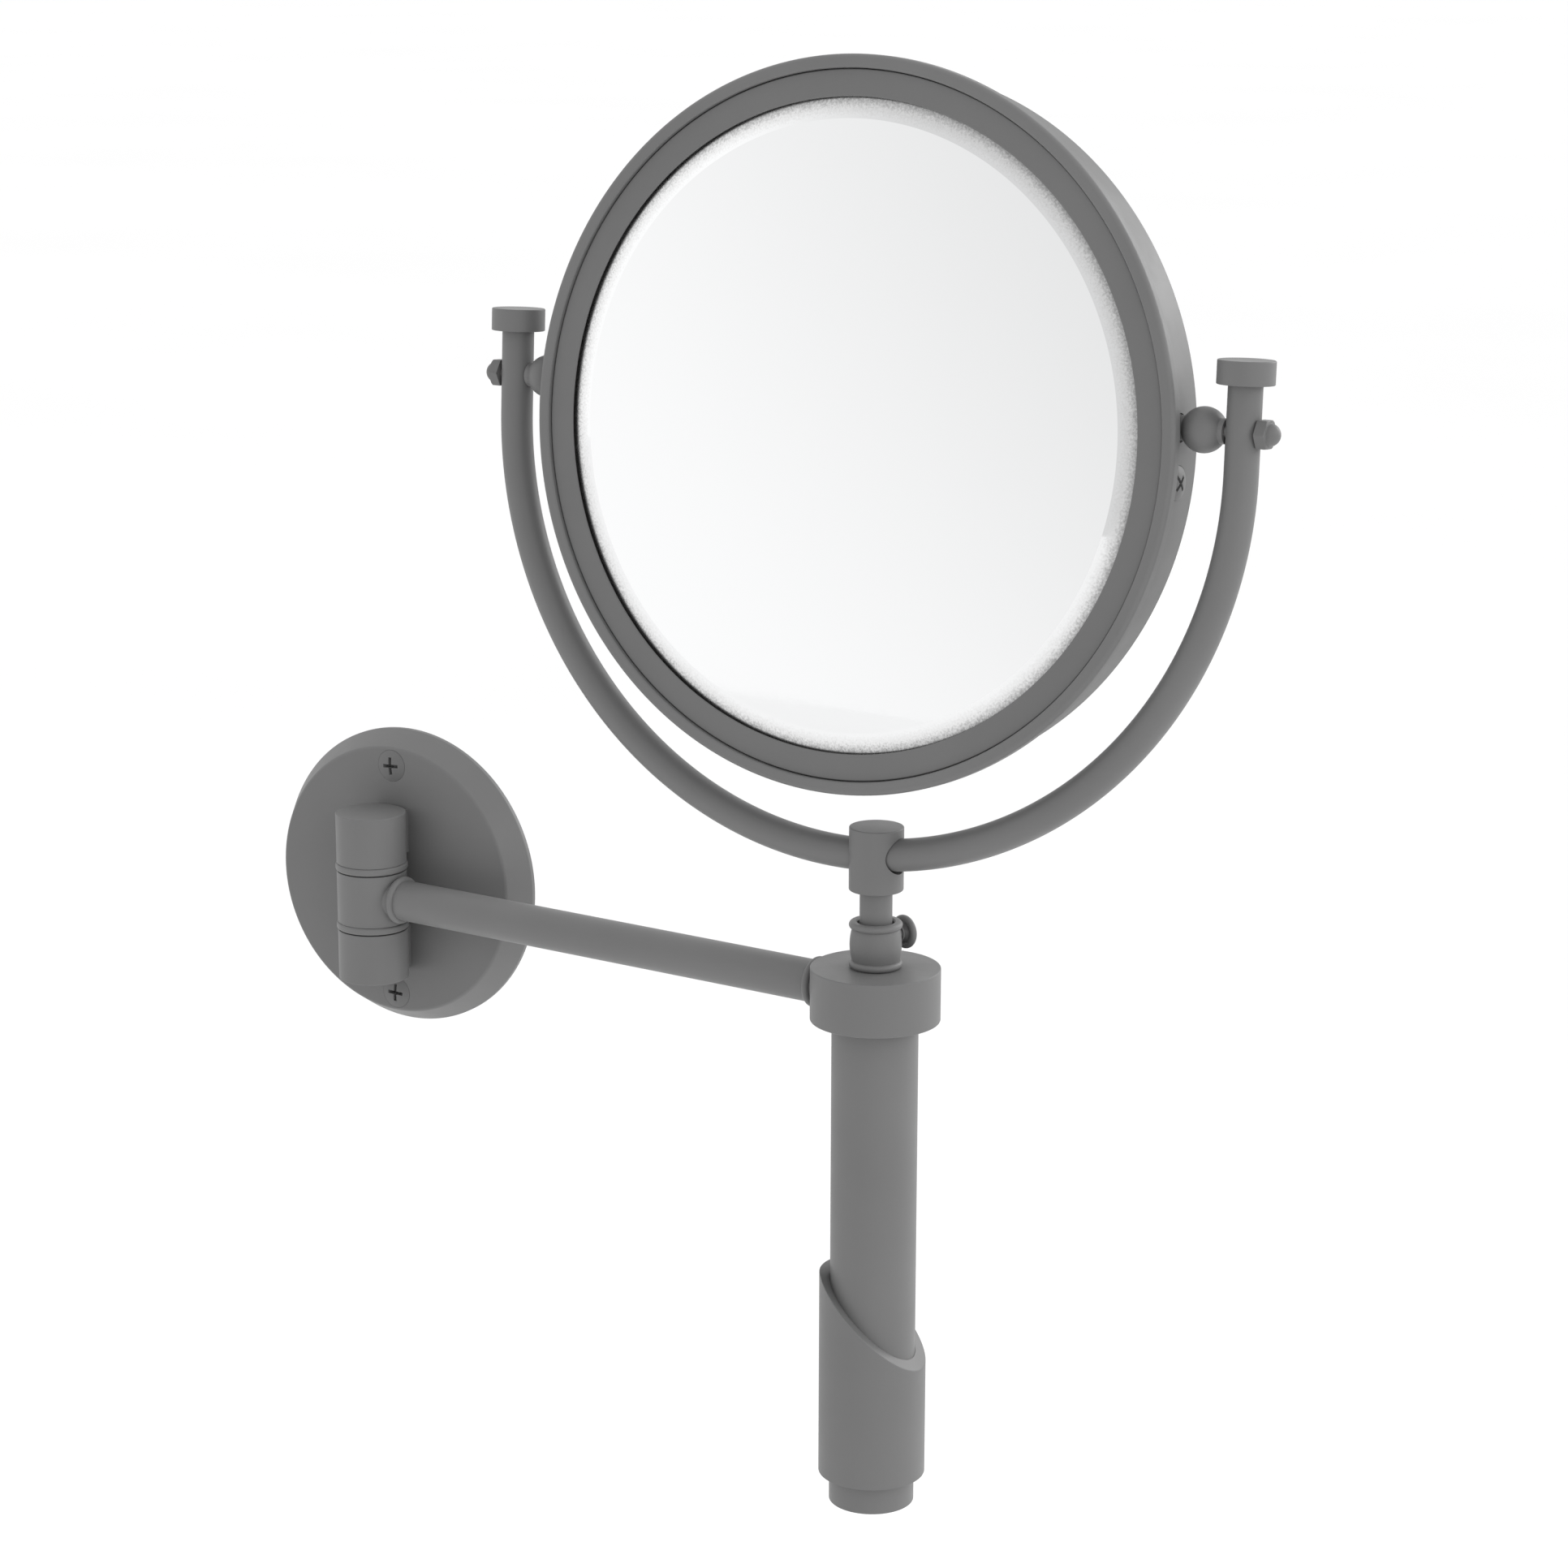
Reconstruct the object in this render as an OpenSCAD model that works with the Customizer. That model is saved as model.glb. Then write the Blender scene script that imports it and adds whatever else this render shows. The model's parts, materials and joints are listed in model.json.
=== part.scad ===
// Wall-mounted extendable shaving mirror. Millimetres, +Z up, +X along the wall, wall on +Y.
// Origin: centre of the wall plate's back face.

/* [Wall plate and hinge] */
// diameter of the wall plate at its back face
plate_d = 96; // [92:1:110]
// thickness of the wall plate
plate_t = 9.5; // [8.5:0.5:12]
// distance between the two wall screws
screw_spacing = 75; // [74:0.5:80]
// diameter of the three hinge knuckles
barrel_d = 22.2; // [20:0.2:24]
// height of the whole hinge barrel
barrel_h = 54; // [50:1:58]

/* [Arm] */
// diameter of the arm tube
arm_d = 12.7; // [11:0.1:13]
// distance from the hinge axis to the post axis
arm_len = 190; // [160:1:240]
// angle between the arm and the wall at rest
arm_rest = 4; // [0:0.5:15]

/* [Post] */
// outside diameter of the post tube
post_d = 25.4; // [24:0.1:28]
// outside diameter of the collar on top of the post
collar_d = 38.1; // [36:0.1:44]
// height of the collar
collar_h = 15.9; // [15:0.1:22]
// length of post tube that shows below the collar
post_len = 150; // [130:1:200]
// outside diameter of the slant-cut sleeve
sleeve_d = 31.8; // [31:0.1:35]
// height of the sleeve's flat tip above its foot
sleeve_h = 63.3; // [60:0.1:75]
// slope of the sleeve's cut
cut_angle = 43.4; // [30:1:50]

/* [Lifting rod] */
// diameter of the rod and of the yoke tube
rod_d = 9.52; // [8:0.01:10]
// height of the hub's underside above the clamp at rest
lift_rest = 9.4; // [9.3:0.1:60]
// outside diameter of the hub
hub_d = 15.9; // [15.5:0.1:18]
// height of the hub
hub_h = 18.76; // [17:0.02:22]

/* [Yoke and mirror] */
// outside diameter of the mirror's front bezel
head_d = 208; // [190:1:220]
// depth of the mirror from front to back
head_t = 21.2; // [21:0.2:26]
// width of the flat ring around the glass
ring_w = 7.8; // [6:0.2:10]
// height of the pivots above the mirror's centre
pivot_up = 7.4; // [2:0.2:12]
// turn of the head about the post at rest
head_turn = -1.6; // [-30:0.1:30]
// backward lean of the yoke in its hub at rest
yoke_lean = 3.5; // [0:0.5:6]
// upward tilt of the mirror in the yoke at rest
mirror_tilt = 1.7; // [-8:0.1:8]

/* [Hidden] */
$fn = 96;
e = 0.02;            // line-to-line allowance between seated pieces
run = 0.08;          // radial running clearance
gap = 0.3;           // air between pieces that pass each other

// wall plate
plate_r = plate_d / 2;
plate_land = 1.6;
plate_edge_r = 1.2;
plate_front_r = plate_r - 4.2;
screw_head_r = 5.1;
screw_shank_r = 2.2;
screw_neck_r = 2.4;    // plain part inside the plate
screw_sink = 2.6;
screw_dome = 0.9;
screw_len = 18;      // length past the wall plane
screw_tip = 4;

// hinge
barrel_r = barrel_d / 2;
bead_bulge = 0.35;
hinge_y = plate_t + barrel_r + bead_bulge + gap;
arm_z = -2;
knuckle_h = 16.6;
bead_hi = (barrel_h - knuckle_h) / 2 - 16.1 - gap;
bead_lo = bead_hi;
barrel_top = arm_z + barrel_h / 2;
barrel_bot = arm_z - barrel_h / 2;
mid_top = arm_z + knuckle_h / 2;
mid_bot = arm_z - knuckle_h / 2;
pin_r = 3;
pin_inset = 2.5;
saddle_w = 12;

// arm
arm_r = arm_d / 2;
arm_wall = 1.2;
bead_minor = 1.2;
bead_major = arm_r + 0.05;
arm_start = 7.4;
arm_bite = 4.4;      // how far the arm enters the collar wall

// post
post_r = post_d / 2;
post_wall = 1.5;
collar_r = collar_d / 2;
collar_top = arm_z + collar_h / 2;
collar_bot = arm_z - collar_h / 2;
collar_roof = 3.9;
post_top = collar_top - collar_roof;
post_bot = collar_bot - post_len;
sleeve_r = sleeve_d / 2;
sleeve_bot = post_bot + 9.1;
cut_z = sleeve_bot + 49.76;       // slanted cut's height on the axis
cut_turn = 9.65;                  // the cut falls a little away from the arm's line
plug_h = 7;

// clamp on top of the collar
ring_minor = 1.12;
ring_major = rod_d / 2 + 1.95;
clamp_body_r = 7.6;
clamp_body_h = 10.2;
clamp_arc_r = 16.8;
spigot_r = 6.55;
ring_lo_z = collar_top + ring_minor + 0.02;
clamp_z = collar_top + 2 * ring_minor - 0.4;
ring_hi_z = clamp_z + clamp_body_h + ring_minor - 0.35;
clamp_top = ring_hi_z + ring_minor;
knob_z = clamp_z + 6.8;
knob_angle = 74;
knob_r = 5;
knob_t = 3.2;
knob_in = 9.5;       // distance of the knob's inner face from the rod axis
stem_r = 2;
flange_r = 2.6;
flange_z = 8.5;
tip_r = 1.9;
tip_in = rod_d / 2 + 0.04;
tip_t = 1.05;

// rod, its guide and the hub
rod_r = rod_d / 2;
hub_r = hub_d / 2;
hub_bot = clamp_top + lift_rest;
hub_top = hub_bot + hub_h;
hub_mid = (hub_bot + hub_top) / 2;
rod_bot = post_bot + plug_h + 10.6;
bush_h = 12;
bush_r = post_r - post_wall - run;
keeper_h = 3;
keeper_r = 7.5;

// yoke
yoke_wall = 1.5;
head_r = head_d / 2;
yoke_r = head_r + 15.1;
yoke_c = yoke_r + 0.4;            // arc centre above the hub's middle
yoke_roll = 0.37;                 // the tube leans a little sideways in the hub
yoke_shift = -10.4;               // the hub sits off the arc's middle
hub_bore_r = rod_r + 0.5;
hub_slope = asin(-yoke_shift / yoke_r);
hub_drop = yoke_r - sqrt(yoke_r * yoke_r - yoke_shift * yoke_shift);
tube_z = yoke_c - yoke_r + hub_drop;
rod_top = hub_mid + tube_z - rod_r - 0.55;
head_c = yoke_c + 3.7;            // mirror centre above the hub's middle
pivot_z = head_c + pivot_up;
cap_r = 7.95;
cap_h = 6.6;
cap_seat = 3.3;
cap_z = head_c + 20.3;

// mirror pivots
stud_r = 2;
band_r = head_r - 3.2;
band_wall = 2.5;
band_side = sqrt(band_r * band_r - pivot_up * pivot_up);
yoke_in = yoke_r - rod_r;
yoke_out = yoke_r + rod_r;
ball_r = 6.35;
ball_x = (band_side + gap + yoke_in) / 2;
ball_half = (yoke_in - band_side - gap) / 2 - 0.02;
ball_neck_r = 3.5;
stud_in = band_r - 9;
nut_af = 7.6;
nut_h = 3.1;
nut_dome_r = 3.15;
bush_in = stud_in + 0.6;
pivot_bush_r = 4;

// mirror
face = head_t / 2;
bezel_h = 3.9;
lip_in_r = head_r - 3.9;
lip_edge = 1.4;
ring_out_r = lip_in_r - 0.5;
ring_in_r = ring_out_r - ring_w + 0.5;
ring_face = face - 1.3;
ring_lip_t = 1.1;
glass_front = face - 1.7;
glass_t = 3.6;
glass_r = ring_in_r + 3;
bevel_w = 6;
bevel_drop = 1;
glass_back = glass_front - glass_t;
spacer_out = 91;
spacer_w = 8;
rear_dish = 1.1;
frame_screw_z = -15;              // below the pivots
frame_screw_r = 4.7;
frame_screw_x = sqrt(band_r * band_r - pow(pivot_up + frame_screw_z, 2)) - 0.1;

// ---- shared shapes and places ----

// tube standing on z0
module pipe(r_out, r_in, z0, z1) {
    translate([0, 0, z0])
        difference() {
            cylinder(r = r_out, h = z1 - z0);
            translate([0, 0, -1]) cylinder(r = r_in, h = z1 - z0 + 2);
        }
}

// half-buried bead round a shaft of radius bore, centred on the origin, axis Z
module bead(major, minor, bore) {
    difference() {
        rotate_extrude() translate([major, 0]) circle(r = minor, $fn = 48);
        translate([0, 0, -minor - 1]) cylinder(r = bore, h = 2 * minor + 2);
    }
}

// cross recess cut from z = 0 downwards
module cross_recess(len, wide, deep) {
    for (a = [0, 90])
        rotate([0, 0, a])
            translate([-len / 2, -wide / 2, -deep]) cube([len, wide, deep + 2]);
}

// low domed disc lying on z = 0
module dome_cap(r, h) {
    s = (r * r + h * h) / (2 * h);
    intersection() {
        translate([0, 0, h - s]) sphere(r = s, $fn = 128);
        cylinder(r = r, h = h + 1);
    }
}

module at_arm() translate([0, -hinge_y, arm_z]) rotate([0, 0, -arm_rest]) children();
module at_post() translate([0, -hinge_y, 0]) rotate([0, 0, -arm_rest])
    translate([arm_len, 0, 0]) children();
module at_hub() translate([arm_len * cos(arm_rest), -hinge_y - arm_len * sin(arm_rest), 0])
    rotate([0, 0, head_turn]) children();
module at_yoke() at_hub() translate([0, 0, hub_mid]) rotate([-yoke_lean, -yoke_roll, 0])
    translate([yoke_shift, 0, 0]) children();
module at_pivot() at_yoke() translate([0, 0, pivot_z]) rotate([-mirror_tilt, 0, 0]) children();
// local z runs out of the mirror's front
module at_face() at_pivot() translate([0, 0, -pivot_up]) rotate([90, 0, 0]) children();
module both_sides() for (s = [0, 180]) rotate([0, 0, s]) children();
module at_hinge() translate([0, -hinge_y, 0]) children();

// ---- wall plate and hinge ----

module backplate() color("dimgray")
    rotate([90, 0, 0])
        difference() {
            rotate_extrude($fn = 128) {
                polygon([[0, 0], [plate_r, 0], [plate_r, plate_land],
                    [plate_front_r - plate_edge_r + 1.02, plate_t - 0.56],
                    [plate_front_r - plate_edge_r, plate_t], [0, plate_t]]);
                translate([plate_front_r - plate_edge_r, plate_t - plate_edge_r])
                    circle(r = plate_edge_r, $fn = 48);
            }
            for (s = [-1, 1]) translate([0, s * screw_spacing / 2, 0]) {
                translate([0, 0, -1]) cylinder(r = screw_neck_r + 0.3, h = plate_t + 2);
                translate([0, 0, plate_t - screw_sink - 0.03])
                    cylinder(r1 = screw_neck_r + 0.04, r2 = screw_head_r + 0.04, h = screw_sink + 0.04);
                translate([0, 0, plate_t - e]) cylinder(r = screw_head_r + 0.04, h = 1);
            }
        }

module wall_screws() color("silver")
    rotate([90, 0, 0])
        for (s = [-1, 1]) translate([0, s * screw_spacing / 2, 0])
            difference() {
                union() {
                    translate([0, 0, -screw_len]) cylinder(r = screw_shank_r, h = screw_len - 0.3);
                    translate([0, 0, -0.31]) cylinder(r = screw_neck_r, h = plate_t - 1.5);
                    translate([0, 0, -screw_len - screw_tip])
                        cylinder(r1 = 0.4, r2 = screw_shank_r, h = screw_tip);
                    translate([0, 0, plate_t - screw_sink])
                        cylinder(r1 = screw_neck_r, r2 = screw_head_r, h = screw_sink);
                    translate([0, 0, plate_t]) dome_cap(screw_head_r, screw_dome);
                }
                translate([0, 0, plate_t + screw_dome]) cross_recess(4.4, 0.95, 2.2);
            }

module saddle(z0, z1) {
    difference() {
        translate([-saddle_w / 2, -plate_t - 4, z0]) cube([saddle_w, 4, z1 - z0]);
        at_hinge() translate([0, 0, z0 - 1]) cylinder(r = barrel_r + e, h = z1 - z0 + 2);
    }
}

module hinge_saddles() color("dimgray") {
    saddle(mid_top + gap + 3.5, barrel_top - 1);
    saddle(barrel_bot + 1, mid_bot - gap - bead_lo - 1);
}

module knuckle(z0, z1, bore, b0, b1) {
    difference() {
        translate([0, 0, z0]) cylinder(r = barrel_r, h = z1 - z0);
        translate([0, 0, b0]) cylinder(r = bore, h = b1 - b0);
    }
}

module barrel_bead(z0, z1) {
    h = z1 - z0;
    translate([0, 0, z0])
        difference() {
            rotate_extrude() {
                square([barrel_r - 0.4, h]);
                translate([barrel_r + bead_bulge - h / 2, h / 2]) circle(d = h, $fn = 48);
            }
            translate([0, 0, -1]) cylinder(r = pin_r + e, h = h + 2);
        }
}

module upper_knuckle() color("gray")
    at_hinge() knuckle(mid_top + gap + bead_hi, barrel_top, pin_r + e,
        mid_top - 1, barrel_top - pin_inset);

module upper_bead() color("gray")
    at_hinge() barrel_bead(mid_top + gap, mid_top + gap + bead_hi);

module lower_knuckle() color("gray")
    at_hinge() knuckle(barrel_bot, mid_bot - bead_lo - gap, pin_r + e,
        barrel_bot + pin_inset, mid_bot + 1);

module hinge_pin() color("silver")
    at_hinge() translate([0, 0, barrel_bot + pin_inset + 0.1])
        cylinder(r = pin_r, h = barrel_h - 2 * pin_inset - 0.2);

// ---- arm ----

module swing_knuckle() color("gray")
    at_arm() difference() {
        translate([0, 0, -knuckle_h / 2]) cylinder(r = barrel_r, h = knuckle_h);
        translate([0, 0, -knuckle_h]) cylinder(r = pin_r + run, h = 2 * knuckle_h);
        translate([arm_start - e, 0, 0]) rotate([0, 90, 0]) cylinder(r = arm_r + e, h = barrel_r);
    }

module lower_bead() color("gray")
    at_hinge() difference() {
        barrel_bead(mid_bot - bead_lo, mid_bot);
        translate([0, 0, mid_bot - 5]) cylinder(r = pin_r + run, h = 10);
    }

module arm_root_bead() color("gray")
    at_arm() translate([barrel_r + bead_minor + 0.02, 0, 0]) rotate([0, 90, 0])
        bead(bead_major, bead_minor, arm_r + e);

module arm_tube() color("gray")
    at_arm() translate([arm_start, 0, 0]) rotate([0, 90, 0])
        pipe(arm_r, arm_r - arm_wall, 0, arm_len - collar_r + arm_bite - arm_start);

module arm_end_bead() color("gray")
    at_arm() translate([arm_len - collar_r - bead_minor - 0.02, 0, 0]) rotate([0, 90, 0])
        bead(bead_major, bead_minor, arm_r + e);

// ---- post ----

module post_collar() color("dimgray")
    at_post() difference() {
        translate([0, 0, collar_bot]) cylinder(r = collar_r, h = collar_h);
        translate([0, 0, collar_bot - 1]) cylinder(r = post_r + e, h = post_top - collar_bot + 1);
        translate([0, 0, post_top - 1]) cylinder(r = spigot_r + e, h = collar_roof + 2);
        translate([-collar_r - 1, 0, arm_z]) rotate([0, 90, 0])
            cylinder(r = arm_r + e, h = arm_bite + 1 + e);
    }

module post_tube() color("gray")
    at_post() pipe(post_r, post_r - post_wall, post_bot, post_top - e);

module slant_sleeve() color("dimgray")
    at_post() difference() {
        pipe(sleeve_r, post_r + e, sleeve_bot, sleeve_bot + sleeve_h);
        translate([0, 0, cut_z]) rotate([0, 0, arm_rest + cut_turn]) rotate([0, cut_angle, 0])
            translate([-3 * sleeve_r, -2 * sleeve_r, 0]) cube([6 * sleeve_r, 4 * sleeve_r, 4 * sleeve_r]);
    }

module end_plug() color("gray")
    at_post() translate([0, 0, post_bot + 0.3]) cylinder(r = post_r - post_wall - e, h = plug_h - 0.3);

// ---- clamp ----

module clamp_lower_ring() color("dimgray")
    at_post() translate([0, 0, ring_lo_z]) bead(ring_major, ring_minor, spigot_r + e);

module clamp_body() color("gray")
    at_post() difference() {
        union() {
            translate([0, 0, clamp_z + clamp_body_h / 2]) rotate_extrude()
                intersection() {
                    translate([clamp_body_r - clamp_arc_r, 0]) circle(r = clamp_arc_r, $fn = 160);
                    translate([0, -clamp_body_h / 2]) square([clamp_body_r + 1, clamp_body_h]);
                }
            translate([0, 0, post_top]) cylinder(r = spigot_r, h = clamp_z - post_top + 1);
        }
        translate([0, 0, post_top - 1]) cylinder(r = rod_r + run, h = 40);
        // groove that seats the lower ring
        translate([0, 0, ring_lo_z]) rotate_extrude()
            translate([ring_major, 0]) circle(r = ring_minor + e, $fn = 48);
        translate([0, 0, ring_hi_z]) rotate_extrude()
            translate([ring_major, 0]) circle(r = ring_minor + e, $fn = 48);
        translate([0, 0, knob_z]) rotate([0, 0, knob_angle]) rotate([0, 90, 0])
            cylinder(r = stem_r + run, h = 20);
    }

module clamp_upper_ring() color("dimgray")
    at_post() translate([0, 0, ring_hi_z]) bead(ring_major, ring_minor, rod_r + 0.6);

module at_knob() at_post() translate([0, 0, knob_z]) rotate([0, 0, knob_angle])
    rotate([0, 90, 0]) children();

module clamp_tip() color("white")
    at_knob() translate([0, 0, tip_in]) cylinder(r = tip_r, h = tip_t);

module thumb_screw() color("silver")
    at_knob() {
        translate([0, 0, tip_in + tip_t + e])
            cylinder(r = stem_r, h = knob_in - tip_in - tip_t + 1);
        translate([0, 0, flange_z]) cylinder(r = flange_r, h = 0.6);
        translate([0, 0, knob_in]) rotate_extrude() {
            square([3.2, 0.7]);
            translate([0, 0.5]) square([knob_r - 0.8, knob_t - 1]);
            translate([knob_r - knob_t / 3, knob_t / 2]) circle(d = knob_t * 2 / 3, $fn = 48);
            square([2.6, knob_t]);
        }
    }

// ---- sliding guide and turning rod ----

module rod_bush() color("white")
    at_post() pipe(bush_r, rod_r + run, rod_bot + keeper_h + gap, rod_bot + keeper_h + gap + bush_h);

module lift_rod() color("silver")
    at_hub() translate([0, 0, rod_bot]) cylinder(r = rod_r, h = rod_top - rod_bot);

module rod_keepers() color("silver")
    at_hub() for (z = [rod_bot, rod_bot + keeper_h + bush_h + 2 * gap])
        pipe(keeper_r, rod_r + e, z, z + keeper_h);

module yoke_hub() color("dimgray")
    at_hub() difference() {
        translate([0, 0, hub_bot]) cylinder(r = hub_r, h = hub_h);
        translate([0, 0, hub_bot - 1]) cylinder(r = rod_r + e, h = rod_top - hub_bot + 1 + e);
        translate([0, 0, hub_mid]) rotate([-yoke_lean, -yoke_roll, 0]) translate([0, 0, tube_z - 0.1])
            rotate([0, 90 - hub_slope, 0]) translate([0, 0, -30]) cylinder(r = hub_bore_r, h = 60);
    }

module yoke_tube() color("gray")
    at_yoke() difference() {
        union() {
            translate([0, 0, yoke_c]) rotate([90, 0, 0]) rotate([0, 0, 180])
                rotate_extrude(angle = 180, $fn = 160)
                    translate([yoke_r, 0]) difference() {
                        circle(r = rod_r, $fn = 64);
                        circle(r = rod_r - yoke_wall, $fn = 64);
                    }
            for (s = [-1, 1]) translate([s * yoke_r, 0, yoke_c])
                difference() {
                    cylinder(r = rod_r, h = cap_z + cap_seat - yoke_c - e, $fn = 64);
                    translate([0, 0, -1])
                        cylinder(r = rod_r - yoke_wall, h = cap_z + cap_seat - yoke_c + 2, $fn = 64);
                }
        }
        translate([-yoke_r - 20, 0, pivot_z]) rotate([0, 90, 0])
            cylinder(r = stud_r + e, h = 2 * yoke_r + 40);
    }

module yoke_caps() color("dimgray")
    at_yoke() for (s = [-1, 1]) translate([s * yoke_r, 0, cap_z])
        difference() {
            cylinder(r = cap_r, h = cap_h);
            translate([0, 0, -1]) cylinder(r = rod_r + e, h = cap_seat + 1);
        }

// ---- mirror pivots ----

module pivot_balls() color("gray")
    at_yoke() both_sides() translate([ball_x, 0, pivot_z]) rotate([0, 90, 0])
        difference() {
            union() {
                intersection() {
                    sphere(r = ball_r);
                    cube([20, 20, 2 * ball_half], center = true);
                }
                translate([0, 0, -ball_half]) cylinder(r = ball_neck_r, h = 2 * ball_half);
            }
            cylinder(r = stud_r + e, h = 30, center = true);
        }

module pivot_studs() color("silver")
    at_yoke() both_sides() translate([stud_in, 0, pivot_z]) rotate([0, 90, 0])
        cylinder(r = stud_r, h = yoke_out + nut_h + 0.8 - stud_in);

module acorn_nuts() color("silver")
    at_yoke() both_sides() translate([yoke_out + 0.02, 0, pivot_z]) rotate([0, 90, 0])
        difference() {
            union() {
                rotate([0, 0, 30]) cylinder(d = nut_af / cos(30), h = nut_h, $fn = 6);
                translate([0, 0, nut_h - 0.3]) sphere(r = nut_dome_r);
            }
            translate([0, 0, -10]) cylinder(r = 10, h = 10);
            translate([0, 0, -1]) cylinder(r = stud_r + e, h = nut_h + 2.2);
        }

// ---- mirror ----

module mirror_band() color("gray")
    at_face() difference() {
        pipe(band_r, band_r - band_wall, -face, ring_face - ring_lip_t - e);
        translate([0, pivot_up, 0]) rotate([0, 90, 0])
            cylinder(r = pivot_bush_r + e, h = 2 * head_r, center = true);
        for (s = [-1, 1]) translate([0, pivot_up + frame_screw_z, 0]) rotate([0, s * 90, 0]) {
            cylinder(r = 1.6, h = head_r);
            translate([0, 0, frame_screw_x + 0.1]) cylinder(r = frame_screw_r + 0.15, h = 9);
        }
    }

module front_bezel() color("gray")
    at_face() difference() {
        rotate_extrude($fn = 160) {
            translate([lip_in_r, face - bezel_h]) square([3.9 - lip_edge, bezel_h - 0.5]);
            translate([lip_in_r + 0.5, face - bezel_h]) square([3.4 - lip_edge, bezel_h]);
            translate([lip_in_r + 1, face - bezel_h]) square([2.9, bezel_h - lip_edge]);
            translate([head_r - lip_edge, face - lip_edge]) circle(r = lip_edge, $fn = 48);
            translate([lip_in_r + 0.5, face - 0.5]) circle(r = 0.5, $fn = 32);
        }
        translate([0, 0, face - bezel_h - 1]) cylinder(r = band_r + e, h = 2.62, $fn = 160);
    }

// flat retaining ring; its lip covers the edge of the glass
module retainer(top, out_r) {
    difference() {
        union() {
            pipe(out_r, ring_in_r, top - ring_lip_t, top);
            pipe(band_r - band_wall - e, glass_r + 0.1, glass_back, top - ring_lip_t + 0.01);
        }
        translate([0, 0, top]) rotate_extrude()
            translate([ring_in_r, 0]) rotate([0, 0, 45]) square(0.5, center = true);
    }
}

module front_ring() color("dimgray") at_face() retainer(ring_face, ring_out_r);

module front_glass() color("lightsteelblue")
    at_face() rotate_extrude($fn = 160)
        polygon([[0, glass_back], [glass_r, glass_back], [glass_r, glass_front - bevel_drop],
            [ring_in_r, glass_front - bevel_drop], [ring_in_r - bevel_w, glass_front],
            [0, glass_front]]);

module spacer_ring() color("tan")
    at_face() pipe(spacer_out, spacer_out - spacer_w, -glass_back + 0.02, glass_back - 0.02);

// magnifying glass: its outer face is dished
module rear_glass() color("lightsteelblue")
    at_face() mirror([0, 0, 1]) {
        dish_r = ring_in_r - 1;
        top = glass_front - bevel_drop;
        dish = [for (i = [0:10]) [dish_r * i / 10, top - rear_dish * (1 - i * i / 100)]];
        rotate_extrude($fn = 160)
            polygon(concat([[0, glass_back]], dish,
                [[glass_r, top], [glass_r, glass_back]]));
    }

module rear_ring() color("dimgray") at_face() mirror([0, 0, 1])
    retainer(ring_face, band_r - band_wall - e);

module pivot_bushes() color("white")
    at_pivot() both_sides() translate([bush_in, 0, 0]) rotate([0, 90, 0])
        pipe(pivot_bush_r, stud_r + run, 0, band_side - 0.6 - bush_in);

module frame_screws() color("silver")
    at_face() for (s = [-1, 1])
        translate([s * frame_screw_x, pivot_up + frame_screw_z, 0])
            rotate([0, s * 90, 0]) difference() {
                union() {
                    translate([0, 0, 0.35]) dome_cap(frame_screw_r, 0.9);
                    translate([0, 0, 0.12]) cylinder(r = frame_screw_r, h = 0.25);
                    translate([0, 0, -6]) cylinder(r = 1.5, h = 6.5);
                }
                translate([0, 0, 1.25]) cross_recess(4.2, 0.9, 1.0);
            }

backplate();
wall_screws();
hinge_saddles();
upper_knuckle();
upper_bead();
lower_knuckle();
hinge_pin();
swing_knuckle();
lower_bead();
arm_root_bead();
arm_tube();
arm_end_bead();
post_collar();
post_tube();
slant_sleeve();
end_plug();
clamp_lower_ring();
clamp_body();
clamp_upper_ring();
clamp_tip();
thumb_screw();
rod_bush();
lift_rod();
rod_keepers();
yoke_hub();
yoke_tube();
yoke_caps();
pivot_balls();
pivot_studs();
acorn_nuts();
mirror_band();
front_bezel();
front_ring();
front_glass();
spacer_ring();
rear_glass();
rear_ring();
pivot_bushes();
frame_screws();
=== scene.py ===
import json
import math

import bpy
import bmesh
from mathutils import Euler, Matrix, Vector


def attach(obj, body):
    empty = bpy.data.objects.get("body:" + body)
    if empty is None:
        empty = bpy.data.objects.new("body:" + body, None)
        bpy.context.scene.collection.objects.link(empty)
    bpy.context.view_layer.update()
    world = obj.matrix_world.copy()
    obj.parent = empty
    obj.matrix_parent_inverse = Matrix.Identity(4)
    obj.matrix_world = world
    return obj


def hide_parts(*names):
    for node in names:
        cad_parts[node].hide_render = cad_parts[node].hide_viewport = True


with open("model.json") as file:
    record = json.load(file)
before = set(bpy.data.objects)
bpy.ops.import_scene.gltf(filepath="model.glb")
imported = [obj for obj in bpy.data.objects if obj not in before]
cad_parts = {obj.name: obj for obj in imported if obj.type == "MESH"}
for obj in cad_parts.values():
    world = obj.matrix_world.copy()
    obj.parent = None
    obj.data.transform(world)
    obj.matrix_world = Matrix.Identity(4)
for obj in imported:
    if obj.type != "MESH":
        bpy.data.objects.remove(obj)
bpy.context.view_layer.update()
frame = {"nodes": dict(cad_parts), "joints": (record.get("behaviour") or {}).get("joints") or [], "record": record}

MM = 0.001
ROUND = 144                      # segments round a large turned piece

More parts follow.
